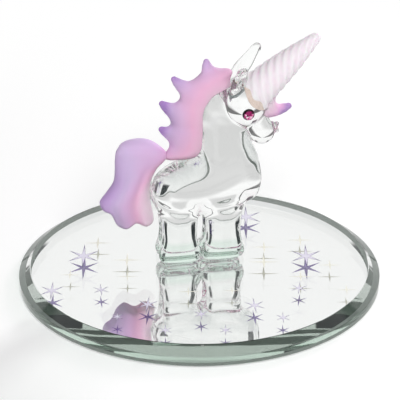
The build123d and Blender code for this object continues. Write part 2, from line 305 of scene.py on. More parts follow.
def body_field(points):
    """The clear body: gathers of glass that ran together while hot."""
    legs = None
    for name in LEG_X:
        pair = smooth_union(leg_field(points, name, 1), leg_field(points, name, -1), 2.2)
        legs = pair if legs is None else smooth_union(legs, pair, 0.9)
    profile = profile_ellipse(points, TORSO_CENTRE, TORSO_RADII, TORSO_TILT)
    neck = smooth_union(
        profile_band(points, NECK_STATIONS, 2.0), profile_ellipse(points, SKULL_CENTRE, SKULL_RADII), 2.0
    )
    profile = smooth_union(profile, neck, 5.0)
    leg_profiles = smooth_union(leg_profile(points, "fore"), leg_profile(points, "hind"), 0.9)
    profile = smooth_union(profile, leg_profiles, 2.5)
    depth_heights, half_depths = np.array(BODY_DEPTHS).T
    half_depth = through(depth_heights, half_depths, points[:, 2])
    body = cushion(points, profile, BODY_EDGE, half_depth, FLAT_POWER)
    share = np.clip((points[:, 2] - LEG_JOIN[0]) / (LEG_JOIN[1] - LEG_JOIN[0]), 0, 1)
    share = share ** 2 * (3 - 2 * share)
    body = share * body + (1 - share) * legs
    body = smooth_union(body, sphere(points, HEAD_CENTRE, HEAD_RADIUS), 0.7)
    droop = np.array([cos(MUZZLE_DROOP), 0, -sin(MUZZLE_DROOP)])
    muzzle_end = HEAD_CENTRE + MUZZLE_REACH * droop
    muzzle = round_cone(
        points, HEAD_CENTRE + MUZZLE_ROOT * droop, muzzle_end, MUZZLE_ROOT_RADIUS, MUZZLE_RADIUS
    )
    nose = muzzle_end + NOSE_OFFSET
    muzzle = smooth_union(muzzle, sphere(points, nose, NOSE_RADIUS), 0.5)
    for rise in (LIP_RISE, -LIP_RISE):
        lip = nose + np.array([LIP_FORWARD, 0, rise])
        muzzle = smooth_union(muzzle, sphere(points, lip, LIP_RADIUS), 0.3)
    body = smooth_union(body, muzzle, 0.8)
    for name in SIDES:
        body = smooth_union(body, ear_field(points, name), 0.8)
    return body


def horn_field(points):
    """A tapered rod with rounded flutes that wind up it, seated on the head."""
    local = (points - HEAD_CENTRE) @ turn_about("y", 90 - HORN_TILT)
    along = local[:, 2] - HORN_ROOT
    share = np.clip(along / HORN_LENGTH, 0, 1)
    flare = HORN_FLARE * np.clip(1 - along / HORN_FLARE_LENGTH, 0, 1) ** 2
    belly = HORN_BELLY * np.sin(pi * share)
    radius = HORN_BASE_RADIUS + share * (HORN_TIP_RADIUS - HORN_BASE_RADIUS) + belly + flare
    depth = HORN_FLUTE_DEPTH * (1 - 0.5 * share)
    angle = np.arctan2(local[:, 1], local[:, 0])
    lobes = np.cos(HORN_FLUTES * (angle + tau * HORN_TURNS * share))
    side = np.hypot(local[:, 0], local[:, 1]) - radius * (1 - depth + depth * lobes)
    rod = smooth_overlap(side, along - HORN_LENGTH, 0.6)
    tip = sphere(local, np.array([0, 0, HORN_ROOT + HORN_LENGTH]), 0.91 * HORN_TIP_RADIUS)
    horn = smooth_union(rod, tip, 0.4)
    return np.maximum(horn, -(sphere(points, HEAD_CENTRE, HEAD_RADIUS) + HORN_SEAT_DEPTH))


def forelock_field(points):
    """A curl that leaves the brow forwards and turns up at its end."""
    bend = FORELOCK_LENGTH / FORELOCK_CURL
    turn = turn_about("y", FORELOCK_DROOP)
    path, radii = [], []
    count = 7
    for step in range(count):
        share = step / (count - 1)
        angle = FORELOCK_CURL * share
        local = np.array([bend * sin(angle), 0, bend * (1 - cos(angle))])
        path.append(FORELOCK_ROOT + turn @ local)
        radii.append(FORELOCK_ROOT_RADIUS + share * (FORELOCK_TIP_RADIUS - FORELOCK_ROOT_RADIUS))
    curl = rod_chain(points, path, radii, 0.5)
    curl = smooth_union(curl, sphere(points, FORELOCK_COLLAR, FORELOCK_COLLAR_RADIUS), 1.5)
    horn = horn_field(points)
    curl = smooth_union(curl, horn, 2.4)
    curl = smooth_cut(curl, body_field(points) + FUSE_DEPTH, 0.2)
    return np.maximum(curl, FORELOCK_LAP - horn)


# Mane: the crest, as (height, rear edge, front edge, half thickness), and the points pulled out of it
CREST = (
    (29.8, -10.6, -1.0, 1.75),
    (31.2, -10.4, 0.6, 2.6),
    (33.2, -9.2, 2.0, 2.9),
    (36.0, -8.4, 2.2, 2.9),
    (40.0, -8.4, 2.2, 2.9),
    (43.5, -7.8, 2.4, 2.9),
    (47.0, -6.2, 3.4, 2.9),
    (50.0, -4.6, 5.4, 2.9),
    (52.6, -2.4, 7.6, 2.7),
    (54.6, 0.2, 8.8, 2.2),
    (55.8, 2.8, 8.4, 1.2),
)
LOCKS = (
    ((4.6, 50.4), 68.0, 8.4),
    ((0.4, 48.6), 33.0, 9.5),
    ((-3.4, 43.0), 27.0, 8.5),
    ((-3.6, 36.6), 19.0, 8.0),
)
LOCK_ROOT_RADIUS = 3.8
LOCK_TIP_RADIUS = 0.85
LOCK_FLATTEN = 1.5
LOCK_SAG = 0.08


def lock_field(points, root, rise, reach):
    """One point pulled out of the mane, sagging a little and ending round."""
    back, up = -cos(radians(rise)), sin(radians(rise))
    path, radii = [], []
    count = 8
    for step in range(count):
        share = step / (count - 1)
        along = share * reach
        dip = 4 * LOCK_SAG * reach * share * (1 - share)
        path.append(np.array([root[0] + along * back - dip * up, 0, root[1] + along * up + dip * back]))
        radii.append(LOCK_TIP_RADIUS + (1 - share) ** 1.15 * (LOCK_ROOT_RADIUS - LOCK_TIP_RADIUS))
    flattened = points * np.array([1, LOCK_FLATTEN, 1])
    return rod_chain(flattened, path, radii, 0.6)


def mane_field(points):
    stations = [(z, (rear + front) / 2, (front - rear) / 2, half) for z, rear, front, half in CREST]
    mane = column(points, stations, 1.6)
    for root, rise, reach in LOCKS:
        mane = smooth_union(mane, lock_field(points, root, rise, reach), 1.8)
    return smooth_cut(mane, body_field(points) + FUSE_DEPTH, 0.2)


# Tail: (height, rear edge, front edge, half depth), the scalloped lower edge, and its folds
TAIL = (
    (8.6, -26.6, -13.4, 3.6),
    (11.2, -27.4, -13.5, 3.9),
    (13.2, -28.2, -13.7, 4.0),
    (15.8, -28.9, -14.1, 4.2),
    (18.6, -28.8, -14.6, 4.2),
    (21.2, -26.9, -14.7, 4.1),
    (24.0, -25.0, -14.3, 3.9),
    (28.0, -24.4, -12.4, 3.7),
    (31.2, -24.3, -9.6, 3.5),
    (34.2, -23.6, -11.6, 3.1),
    (36.2, -21.6, -14.4, 2.0),
    (36.9, -19.6, -16.0, 0.9),
)
TAIL_TOP = 36.9
TAIL_LENGTH = 26.6
TAIL_HEM = (
    (-29.6, 19.0),
    (-28.4, 16.9),
    (-25.6, 14.8),
    (-24.5, 12.2),
    (-22.6, 11.0),
    (-19.3, 12.2),
    (-16.2, 10.9),
    (-13.0, 11.4),
)
TAIL_FOLDS = (-0.5, 0.32)
FOLD_DEPTH = 1.1
FOLD_WIDTH = 0.2


def tail_share(points):
    """Where a point lies across the tail, from -1 at its rear edge to 1 at its front edge."""
    heights, rear, front, _ = np.array(TAIL).T
    rear_x = through(heights, rear, points[:, 2])
    front_x = through(heights, front, points[:, 2])
    return (2 * points[:, 0] - rear_x - front_x) / (front_x - rear_x)


def tail_field(points):
    stations = [(z, (rear + front) / 2, (front - rear) / 2, half) for z, rear, front, half in TAIL]
    tail = column(points, stations, 0.8)
    fall = np.clip((TAIL_TOP - points[:, 2]) / TAIL_LENGTH, 0, 1)
    share = tail_share(points)
    for middle in TAIL_FOLDS:
        tail = tail + FOLD_DEPTH * fall ** 1.5 * np.exp(-((share - middle) / FOLD_WIDTH) ** 2)
    hem_x, hem_z = np.array(TAIL_HEM).T
    hem = (through(hem_x, hem_z, points[:, 0]) - points[:, 2]) * 0.8
    tail = smooth_overlap(tail, hem, 1.1)
    tail = smooth_cut(tail, body_field(points) + FUSE_DEPTH, 0.2)
    return np.maximum(tail, -mane_field(points))


def cell_faces(inside, index):
    """Four cells round every grid edge that crosses the surface, in the order that faces outwards."""
    faces = []
    for axis in range(3):
        across = [a for a in range(3) if a != axis]
        lower = np.moveaxis(inside, axis, 0)[:-1, 1:-1, 1:-1]
        upper = np.moveaxis(inside, axis, 0)[1:, 1:-1, 1:-1]
        cells = np.moveaxis(index, axis, 0)
        quad = np.stack(
            [cells[:, :-1, :-1], cells[:, 1:, :-1], cells[:, 1:, 1:], cells[:, :-1, 1:]], axis=-1
        )
        if across == [0, 2]:
            quad = quad[..., ::-1]
        faces.append(quad[lower & ~upper])
        faces.append(quad[~lower & upper][:, ::-1])
    return np.concatenate(faces)


def slope_of(field, points, step):
    columns = []
    for axis in range(3):
        shift = np.zeros(3)
        shift[axis] = step
        columns.append((field(points + shift) - field(points - shift)) / (2 * step))
    return np.stack(columns, axis=1)


def mesh_field(field, low, high, cell, rounds=5):
    """A quad mesh of the field's surface.

    Each crossed cell has one vertex, which is relaxed and drawn onto the surface."""
    axes = [np.arange(start, stop + cell, cell) for start, stop in zip(low, high)]
    grid = np.stack(np.meshgrid(*axes, indexing="ij"), axis=-1)
    shape = grid.shape[:3]
    inside = field(grid.reshape(-1, 3)).reshape(shape) < 0
    corners = sum(
        inside[i:shape[0] - 1 + i, j:shape[1] - 1 + j, k:shape[2] - 1 + k].astype(np.int8)
        for i in (0, 1) for j in (0, 1) for k in (0, 1)
    )
    crossed = (corners > 0) & (corners < 8)
    index = np.full(crossed.shape, -1)
    index[crossed] = np.arange(crossed.sum())
    vertices = np.array(low) + (np.argwhere(crossed) + 0.5) * cell
    faces = cell_faces(inside, index)
    edges = np.concatenate([faces[:, [i, (i + 1) % 4]] for i in range(4)])
    ends = np.concatenate([edges, edges[:, ::-1]])
    neighbours = np.maximum(np.bincount(ends[:, 0], minlength=len(vertices)), 1)
    for _ in range(rounds):
        sums = [np.bincount(ends[:, 0], vertices[ends[:, 1], axis], len(vertices)) for axis in range(3)]
        middle = np.stack(sums, axis=1) / neighbours[:, None]
        vertices = 0.4 * vertices + 0.6 * middle
        slope = slope_of(field, vertices, 0.05)
        steep = np.maximum((slope ** 2).sum(axis=1), 0.05)
        step = -field(vertices)[:, None] * slope / steep[:, None]
        vertices = vertices + np.clip(step, -cell, cell)
    return vertices, faces


def to_row(points):
    """Figure millimetres to row-frame metres."""
    return (points @ YAW_TURN.T + FIGURE_ORIGIN) * MM


# Pieces


def add_piece(name, mesh, materials, nodes=()):
    piece = bpy.data.objects.new(name, mesh)
    bpy.context.collection.objects.link(piece)
    for material in materials:
        mesh.materials.append(material)
    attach(piece, "root")
    if nodes:
        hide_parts(*nodes)
    return piece


def field_mesh(name, field, low, high, cell):
    vertices, faces = mesh_field(field, low, high, cell)
    mesh = bpy.data.meshes.new(name)
    mesh.from_pydata(to_row(vertices).tolist(), [], faces.tolist())
    mesh.update()
    mesh.shade_smooth()
    return mesh, vertices


def set_attribute(mesh, name, values):
    attribute = mesh.attributes.new(name, "FLOAT", "POINT")
    attribute.data.foreach_set("value", np.clip(values, 0, 1).astype(np.float32))


def mesh_from_bmesh(name, bm, sharp_angle):
    """Smooth faces with sharp edges where the surface turns by more than the angle."""
    bmesh.ops.recalc_face_normals(bm, faces=bm.faces)
    for face in bm.faces:
        face.smooth = True
    for edge in bm.edges:
        edge.smooth = len(edge.link_faces) == 2 and edge.calc_face_angle() < sharp_angle
    mesh = bpy.data.meshes.new(name)
    bm.to_mesh(mesh)
    bm.free()
    return mesh


def lathe(name, profile, segments, sharp_angle, place, is_loop=False):
    """Turns (radius, height) points about an axis, puts them in the row frame and closes the form.

    A loop joins its last ring to its first. Otherwise both ends get flat faces."""
    bm = bmesh.new()
    rings = []
    for radius, height in profile:
        angles = [tau * step / segments for step in range(segments)]
        points = np.array([(radius * cos(angle), radius * sin(angle), height) for angle in angles])
        rings.append([bm.verts.new(point) for point in place(points)])
    pairs = list(zip(rings, rings[1:]))
    if is_loop:
        pairs.append((rings[-1], rings[0]))
    else:
        bm.faces.new(rings[0][::-1])
        bm.faces.new(rings[-1])
    for lower, upper in pairs:
        for step in range(segments):
            after = (step + 1) % segments
            bm.faces.new((lower[step], lower[after], upper[after], upper[step]))
    return mesh_from_bmesh(name, bm, sharp_angle)


# Materials


def new_material(name):
    material = bpy.data.materials.new(name)
    material.use_nodes = True
    tree = material.node_tree
    return material, tree, tree.nodes["Principled BSDF"], tree.nodes["Material Output"]


def add_noise(tree, scale, detail, coordinates):
    noise = tree.nodes.new("ShaderNodeTexNoise")
    noise.inputs["Scale"].default_value = scale
    noise.inputs["Detail"].default_value = detail
    tree.links.new(coordinates, noise.inputs["Vector"])
    return noise.outputs["Fac"]


def object_coordinates(tree):
    return tree.nodes.new("ShaderNodeTexCoord").outputs["Object"]


def add_range(tree, value, low, high):
    """Brings a value from 0..1 to low..high."""
    node = tree.nodes.new("ShaderNodeMapRange")
    node.inputs["To Min"].default_value = low
    node.inputs["To Max"].default_value = high
    tree.links.new(value, node.inputs["Value"])
    return node.outputs["Result"]


def add_bump(tree, shader, height, distance, strength):
    bump = tree.nodes.new("ShaderNodeBump")
    bump.inputs["Distance"].default_value = distance
    bump.inputs["Strength"].default_value = strength
    tree.links.new(height, bump.inputs["Height"])
    tree.links.new(bump.outputs["Normal"], shader.inputs["Normal"])


def add_ramp(tree, value, stops):
    ramp = tree.nodes.new("ShaderNodeValToRGB")
    elements = ramp.color_ramp.elements
    while len(elements) < len(stops):
        elements.new(0.5)
    for element, (position, colour) in zip(elements, stops):
        element.position = position
        element.color = hex_colour(colour)
    tree.links.new(value, ramp.inputs["Fac"])
    return ramp.outputs["Color"]


def math_node(tree, operation, a, b):
    node = tree.nodes.new("ShaderNodeMath")
    node.operation = operation
    for socket, value in zip(node.inputs, (a, b)):
        if isinstance(value, (int, float)):
            socket.default_value = value
        else:
            tree.links.new(value, socket)
    return node.outputs["Value"]


def step_node(tree, value, edge, width):
    """Rises from 0 to 1 as the value passes the edge."""
    node = tree.nodes.new("ShaderNodeMapRange")
    node.interpolation_type = "SMOOTHSTEP"
    node.inputs["From Min"].default_value = edge - width / 2
    node.inputs["From Max"].default_value = edge + width / 2
    tree.links.new(value, node.inputs["Value"])
    return node.outputs["Result"]


def let_lamps_through(tree, shader, output):
    """Glass that throws the light shadow of clear glass."""
    path = tree.nodes.new("ShaderNodeLightPath")
    clear = tree.nodes.new("ShaderNodeBsdfTransparent")
    clear.inputs["Color"].default_value = (0.86, 0.89, 0.87, 1)
    mix = tree.nodes.new("ShaderNodeMixShader")
    tree.links.new(path.outputs["Is Shadow Ray"], mix.inputs["Fac"])
    tree.links.new(shader.outputs["BSDF"], mix.inputs[1])
    tree.links.new(clear.outputs["BSDF"], mix.inputs[2])
    tree.links.new(mix.outputs["Shader"], output.inputs["Surface"])


# Painted reflection: the hooves are greener than the rest of the clear glass, up to this height, as if they showed
# the green plate glass below them
FOOT_REFLECTION_GREEN = "#DDEEE4"
FOOT_HEIGHT = 3.4


def paint_foot_reflection(tree, shader, where, colour):
    split = tree.nodes.new("ShaderNodeSeparateXYZ")
    tree.links.new(where, split.inputs["Vector"])
    rise = math_node(tree, "SUBTRACT", split.outputs["Z"], SEAT_Z * MM)
    share = math_node(tree, "DIVIDE", rise, FOOT_HEIGHT * MM)
    tree.links.new(add_ramp(tree, share, ((0.5, FOOT_REFLECTION_GREEN), (1.0, colour))), shader.inputs["Base Color"])


def clear_glass(name, colour, ior, wave_scale, wave_height, haze, absorb=None, has_painted_foot_reflection=False):
    """Clear glass with the faint waviness that it was worked or ground with."""
    material, tree, shader, output = new_material(name)
    shader.inputs["Base Color"].default_value = hex_colour(colour)
    shader.inputs["Transmission Weight"].default_value = 1.0
    shader.inputs["IOR"].default_value = ior
    where = object_coordinates(tree)
    smear = add_noise(tree, 260.0, 2.0, where)
    tree.links.new(add_range(tree, smear, 0.0, haze), shader.inputs["Roughness"])
    add_bump(tree, shader, add_noise(tree, wave_scale, 1.0, where), wave_height, 1.0)
    let_lamps_through(tree, shader, output)
    # The hooves get a painted reflection of the green plate
    if has_painted_foot_reflection:
        paint_foot_reflection(tree, shader, where, colour)
    if absorb:
        tint, density = absorb
        volume = tree.nodes.new("ShaderNodeVolumeAbsorption")
        volume.inputs["Color"].default_value = tint
        volume.inputs["Density"].default_value = density
        tree.links.new(volume.outputs["Volume"], output.inputs["Volume"])
    return material


def frosted_glass(name, stops, wander):
    """Satin glass whose colour runs along the tone that each piece carries, with a fine etched grain."""
    material, tree, shader, _ = new_material(name)
    where = object_coordinates(tree)
    tone = tree.nodes.new("ShaderNodeAttribute")
    tone.attribute_name = "tone"
    drift = add_range(tree, add_noise(tree, 130.0, 2.0, where), -wander, wander)
    shifted = math_node(tree, "ADD", tone.outputs["Fac"], drift)
    tree.links.new(add_ramp(tree, shifted, stops), shader.inputs["Base Color"])
    grain = add_noise(tree, 5200.0, 2.0, where)
    tree.links.new(add_range(tree, grain, 0.42, 0.60), shader.inputs["Roughness"])
    shader.inputs["Subsurface Weight"].default_value = 0.35
    shader.inputs["Subsurface Radius"].default_value = (1.0, 0.7, 0.9)
    shader.inputs["Subsurface Scale"].default_value = 0.003
    shader.inputs["Specular IOR Level"].default_value = 0.35
    add_bump(tree, shader, grain, 0.00002, 0.5)
    return material


def painted(name, colour, other, roughness, metallic=0.0, grain=900.0):
    material, tree, shader, _ = new_material(name)
    shader.inputs["Metallic"].default_value = metallic
    where = object_coordinates(tree)
    mottle = add_noise(tree, grain, 4.0, where)
    tree.links.new(add_ramp(tree, mottle, ((0.3, colour), (0.7, other))), shader.inputs["Base Color"])
    tree.links.new(add_range(tree, mottle, roughness - 0.06, roughness + 0.06), shader.inputs["Roughness"])
    add_bump(tree, shader, mottle, 0.00001, 0.4)
    return material


def silvered(name):
    material, tree, shader, _ = new_material(name)
    shader.inputs["Base Color"].default_value = (0.955, 0.935, 0.945, 1)
    shader.inputs["Metallic"].default_value = 1.0
    haze = add_noise(tree, 70.0, 3.0, object_coordinates(tree))
    tree.links.new(add_range(tree, haze, 0.0, 0.012), shader.inputs["Roughness"])
    return material


def crystal_painted_facets(name):
    """Foiled crystal with painted reflections: each facet's share of light, from near black to a near-white glint,
    is painted into its colour through the tone that it carries.

    The table is divided like the facets behind it, and its parts carry painted light of their own."""
    material, tree, shader, _ = new_material(name)
    tone = tree.nodes.new("ShaderNodeAttribute")
    tone.attribute_name = "tone"
    # Painted light: near black for the dark facets up to a near-white painted glint
    stops = ((0.0, "#0C0107"), (0.25, "#560636"), (0.5, "#B0166C"), (0.75, "#E84FA2"), (1.0, "#FFDDF0"))
    tree.links.new(add_ramp(tree, tone.outputs["Fac"], stops), shader.inputs["Base Color"])
    shader.inputs["Coat Weight"].default_value = 0.2
    shader.inputs["Specular IOR Level"].default_value = 0.3
    wear = add_noise(tree, 900.0, 2.0, object_coordinates(tree))
    tree.links.new(add_range(tree, wear, 0.06, 0.12), shader.inputs["Roughness"])
    return material


def foil(name):
    """The silver coat on the flat back of a crystal."""
    material, tree, shader, _ = new_material(name)
    shader.inputs["Metallic"].default_value = 1.0
    crinkle = add_noise(tree, 1600.0, 3.0, object_coordinates(tree))
    stops = ((0.3, "#9A9AA0"), (0.7, "#C9C9CE"))
    tree.links.new(add_ramp(tree, crinkle, stops), shader.inputs["Base Color"])
    tree.links.new(add_range(tree, crinkle, 0.12, 0.3), shader.inputs["Roughness"])
    add_bump(tree, shader, crinkle, 0.00004, 0.8)
    return material


PLATE_GREEN = (0.10, 0.60, 0.30, 1)
MATERIALS = {
    "clear": clear_glass("clear_worked_glass", "#FDFEFD", 1.5, 170.0, 0.00005, 0.08, has_painted_foot_reflection=True),
    "plate": clear_glass(
        "bevelled_plate_glass", "#FEFEFE", 1.52, 90.0, 0.00001, 0.02, absorb=(PLATE_GREEN, 5.5)
    ),
    "silver": silvered("silver_coat"),
    "paint": painted("backing_paint_grey", "#686E6A", "#787E7A", 0.45),
    "adhesive": clear_glass("cured_adhesive", "#ECF7F1", 1.49, 900.0, 0.00002, 0.05),
    "mane": frosted_glass(
        "frosted_mane",
        ((0.0, "#EFC6DC"), (0.28, "#EBB9D7"), (0.52, "#DDBADD"), (0.70, "#C8AED6"), (0.86, "#A685C2")),
        0.10,
    ),
    "tail": frosted_glass(
        "frosted_tail",
        (
            (0.0, "#C2A1D9"),
            (0.3, "#D8C1E6"),
            (0.5, "#E2BAE0"),
            (0.68, "#F7C6E4"),
            (0.84, "#FCDDEE"),
            (1.0, "#FFE9F4"),
        ),
        0.08,
    ),
    "forelock": frosted_glass(
        "frosted_forelock", ((0.0, "#F4DCEA"), (0.35, "#F1CDE3"), (0.7, "#DFB2D7"), (1.0, "#AE90C4")), 0.06
    ),
    # Horn: its darker first stop is painted shade for the flutes, its paler last stop the lit ridges
    "horn": frosted_glass("frosted_horn", ((0.0, "#F3E8EF"), (0.5, "#F5ECF2"), (1.0, "#F8F1F6")), 0.12),
    "horn_seat": painted("horn_seat", "#C9B3A6", "#F0E3DA", 0.5, grain=4200.0),
    "crystal": crystal_painted_facets("fuchsia_crystal_painted_facets"),
    "foil": foil("crystal_foil"),
    "print_outline": painted("print_outline", "#635B7E", "#746C90", 0.4),
    "print_pale": painted("print_pale", "#E9E5F3", "#DED8EC", 0.3),
    "print_cream": painted("print_cream", "#F3F1E4", "#ECEADA", 0.35),
    "foil_purple": painted("foil_purple", "#7C5CB8", "#8E70C6", 0.45, 1.0),
    "foil_cream": painted("foil_cream", "#EFECDC", "#E6E3D0", 0.45, 1.0),
}

# The clear body, as one run of glass
CLEAR_NODES = ["torso", "neck", "head", "muzzle"]
for side_name in SIDES:
    CLEAR_NODES += [f"fore_leg_{side_name}", f"hind_leg_{side_name}", f"ear_{side_name}"]
BODY_BOX = ((-16.0, -9.2, -0.6), (23.5, 9.2, 62.5))
body_mesh, _ = field_mesh("clear_body", body_field, *BODY_BOX, CELL)
add_piece("clear_body", body_mesh, [MATERIALS["clear"]], CLEAR_NODES)

# Horn, paler on its ridges than in its flutes, which carry painted shade
HORN_BOX = ((11.0, -7.0, 42.0), (33.5, 7.0, 64.5))
horn_mesh, horn_points = field_mesh("horn_frosted", horn_field, *HORN_BOX, FINE_CELL)
horn_local = (horn_points - HEAD_CENTRE) @ turn_about("y", 90 - HORN_TILT)
horn_share = np.clip((horn_local[:, 2] - HORN_ROOT) / HORN_LENGTH, 0, 1)
horn_angle = np.arctan2(horn_local[:, 1], horn_local[:, 0])
horn_flute_shade = np.cos(HORN_FLUTES * (horn_angle + tau * HORN_TURNS * horn_share))
set_attribute(horn_mesh, "tone", 0.5 + 0.5 * horn_flute_shade)
add_piece("horn_frosted", horn_mesh, [MATERIALS["horn"]], ["horn"])

# The seat that the horn was fused to, as a beige band on the head round the foot of the horn.
# It lies between two angles from the horn's axis, stands a little proud of the head, and
# shows as a crescent on each side, at an angle round the axis from the way the face looks
SEAT_FROM = 50.0
SEAT_TO = 75.0
CRESCENT_MIDDLE = radians(94.0)
CRESCENT_SPREAD = radians(46.0)
SEAT_LEAST = 0.15
SEAT_OUTSIDE = 0.10
SEAT_INSIDE = 0.20
SEAT_STEPS = 8


def seat_profile():
    angles = np.radians(np.linspace(SEAT_FROM, SEAT_TO, SEAT_STEPS + 1))
    outer, inner = HEAD_RADIUS + SEAT_OUTSIDE, HEAD_RADIUS - SEAT_INSIDE
    top = [(outer * sin(angle), outer * cos(angle)) for angle in angles]
    return top + [(inner * sin(angle), inner * cos(angle)) for angle in angles[::-1]]


def place_on_horn(points):
    return to_row(points @ turn_about("y", 90 - HORN_TILT).T + HEAD_CENTRE)


def place_seat(points):
    reach = length(points)
    around = np.arctan2(points[:, 1], points[:, 0])
    lobe = np.exp(-((np.abs(around) - CRESCENT_MIDDLE) / CRESCENT_SPREAD) ** 2)
    start = radians(SEAT_FROM)
    tilt = np.arccos(points[:, 2] / reach)
    tilt = start + (tilt - start) * (SEAT_LEAST + (1 - SEAT_LEAST) * lobe)
    across = reach * np.sin(tilt)
    narrowed = [across * np.cos(around), across * np.sin(around), reach * np.cos(tilt)]
    return place_on_horn(np.stack(narrowed, axis=1))


seat_mesh = lathe("horn_seat_band", seat_profile(), 96, radians(40), place_seat, True)
add_piece("horn_seat_band", seat_mesh, [MATERIALS["horn_seat"]])

# Forelock, as pale as the horn where it leaves it and purple at its tip
FORELOCK_FADE = 5.0
CURL_BOX = ((13.5, -4.4, 36.5), (26.5, 4.4, 48.5))
curl_mesh, curl_points = field_mesh("forelock_curl", forelock_field, *CURL_BOX, FINE_CELL)
set_attribute(curl_mesh, "tone", horn_field(curl_points) / FORELOCK_FADE)
add_piece("forelock_curl", curl_mesh, [MATERIALS["forelock"]], ["forelock"])

# Mane, pink beside the neck and purple out at its points
MANE_FADE = 11.0
MANE_BOX = ((-13.0, -4.6, 27.0), (10.5, 4.6, 60.5))
mane_mesh, mane_points = field_mesh("mane_frosted", mane_field, *MANE_BOX, CELL)
set_attribute(mane_mesh, "tone", body_field(mane_points) / MANE_FADE)
add_piece("mane_frosted", mane_mesh, [MATERIALS["mane"]], ["mane"])

# Tail, lavender at its top and behind, and pink lower down towards the rump
TAIL_TOP_TONE = 0.34
TAIL_BOX = ((-30.5, -5.4, 8.0), (-7.5, 5.4, 38.5))
tail_mesh, tail_points = field_mesh("tail_frosted", tail_field, *TAIL_BOX, CELL)
tail_fall = np.clip(1.7 * (TAIL_TOP - tail_points[:, 2]) / TAIL_LENGTH, 0, 1)
tail_tone = 0.5 + 0.5 * tail_share(tail_points)
set_attribute(tail_mesh, "tone", TAIL_TOP_TONE + tail_fall * (tail_tone - TAIL_TOP_TONE))
add_piece("tail_frosted", tail_mesh, [MATERIALS["tail"]], ["tail"])

# Mirror plate: flat top, bevel, land and a silvered underside
plate_low, plate_high = (np.array(corner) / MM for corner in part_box("mirror_plate"))
PLATE_RADIUS = (plate_high[0] - plate_low[0]) / 2 - 0.01
PLATE_TOP = plate_high[2]
PLATE_BOTTOM = plate_low[2] + 0.004
BEVEL_WIDTH = 3.2
BEVEL_DROP = 2.3
ARRIS = 0.3
PAINT_INSET = 0.9
SILVER_INSET = 3.5
EDGE_ROUND = 0.1
PLATE_SEGMENTS = 240


def eased(profile, amount):
    """Cuts each corner between the ends of a profile by a small chamfer."""
    points = [np.array(point) for point in profile]
    result = [points[0]]
    for before, corner, after in zip(points, points[1:], points[2:]):
        for other in (before, after):
            direction = other - corner
            result.append(corner + amount * direction / hypot(*direction))
    return [*result, points[-1]]


plate_profile = eased(
    [
        (PLATE_RADIUS - SILVER_INSET, PLATE_BOTTOM),
        (PLATE_RADIUS - PAINT_INSET, PLATE_BOTTOM),
        (PLATE_RADIUS - ARRIS, PLATE_BOTTOM),
        (PLATE_RADIUS, PLATE_BOTTOM + ARRIS),
        (PLATE_RADIUS, PLATE_TOP - BEVEL_DROP),
        (PLATE_RADIUS - BEVEL_WIDTH, PLATE_TOP),
        (PLATE_RADIUS - BEVEL_WIDTH - 1.0, PLATE_TOP),
    ],
    EDGE_ROUND,
)


def place_on_plate(points):
    return points * MM


plate_mesh = lathe("mirror_plate_glass", plate_profile, PLATE_SEGMENTS, radians(12), place_on_plate)
plate_materials = [MATERIALS[key] for key in ("plate", "silver", "paint")]
add_piece("mirror_plate_glass", plate_mesh, plate_materials, ["mirror_plate"])
for face in plate_mesh.polygons:
    if face.normal.z < -0.99:
        is_middle = len(face.vertices) > 4
        face.material_index = 1 if is_middle else 2

for node, key in (
    ("mirror_silvering", "silver"),
    ("backing_paint", "paint"),
    ("eye_cement_left", "adhesive"),
    ("eye_cement_right", "adhesive"),
):
    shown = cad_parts[node]
    shown.data.materials.clear()
    shown.data.materials.append(MATERIALS[key])

# Adhesive under the hooves: pads that bulge a little where they were squeezed out, a hair clear of
# both glasses
PAD_HALF_WIDTH = 5.5
PAD_HALF_DEPTH = 2.2
PAD_CLEAR = 0.008
PAD_BULGE = 0.03
PAD_SEGMENTS = 64


def add_pad(bm, x, y):
    thickness = (pads_high - pads_low)[2] - 2 * PAD_CLEAR
    rings = []
    for share, bulge in ((0.0, 0.0), (0.25, 0.8), (0.5, 1.0), (0.75, 0.8), (1.0, 0.0)):
        ring = []
        for step in range(PAD_SEGMENTS):
            angle = tau * step / PAD_SEGMENTS
            local = np.array([
                x + (PAD_HALF_WIDTH + PAD_BULGE * bulge) * cos(angle),
                y + (PAD_HALF_DEPTH + PAD_BULGE * bulge) * sin(angle),
                (share - 1) * thickness - PAD_CLEAR,
            ])
            ring.append(bm.verts.new(to_row(local)))
        rings.append(ring)
    for lower, upper in zip(rings, rings[1:]):
        for step in range(PAD_SEGMENTS):
            after = (step + 1) % PAD_SEGMENTS
            bm.faces.new((lower[step], lower[after], upper[after], upper[step]))
    bm.faces.new(rings[0][::-1])
    bm.faces.new(rings[-1])


pads = bmesh.new()
for leg_x in LEG_X.values():
    for side in SIDES.values():
        add_pad(pads, leg_x, side * LEG_Y)
pads_mesh = mesh_from_bmesh("hoof_pads", pads, radians(30))
add_piece("hoof_pads", pads_mesh, [MATERIALS["adhesive"]], ["hoof_adhesive"])

# Eyes: flat-back crystals with a foil behind, each lying where its CAD crystal lies
EYE_RADIUS = 1.725
EYE_HEIGHT = 1.25
EYE_FACETS = 8
EYE_TABLE = 0.55
EYE_DOWN = 7.0
CEMENT_FILM = 0.1


def ring_points(radius, height, count, turn):
    angles = [tau * (step + turn) / count for step in range(count)]
    return [(radius * cos(angle), radius * sin(angle), height) for angle in angles]


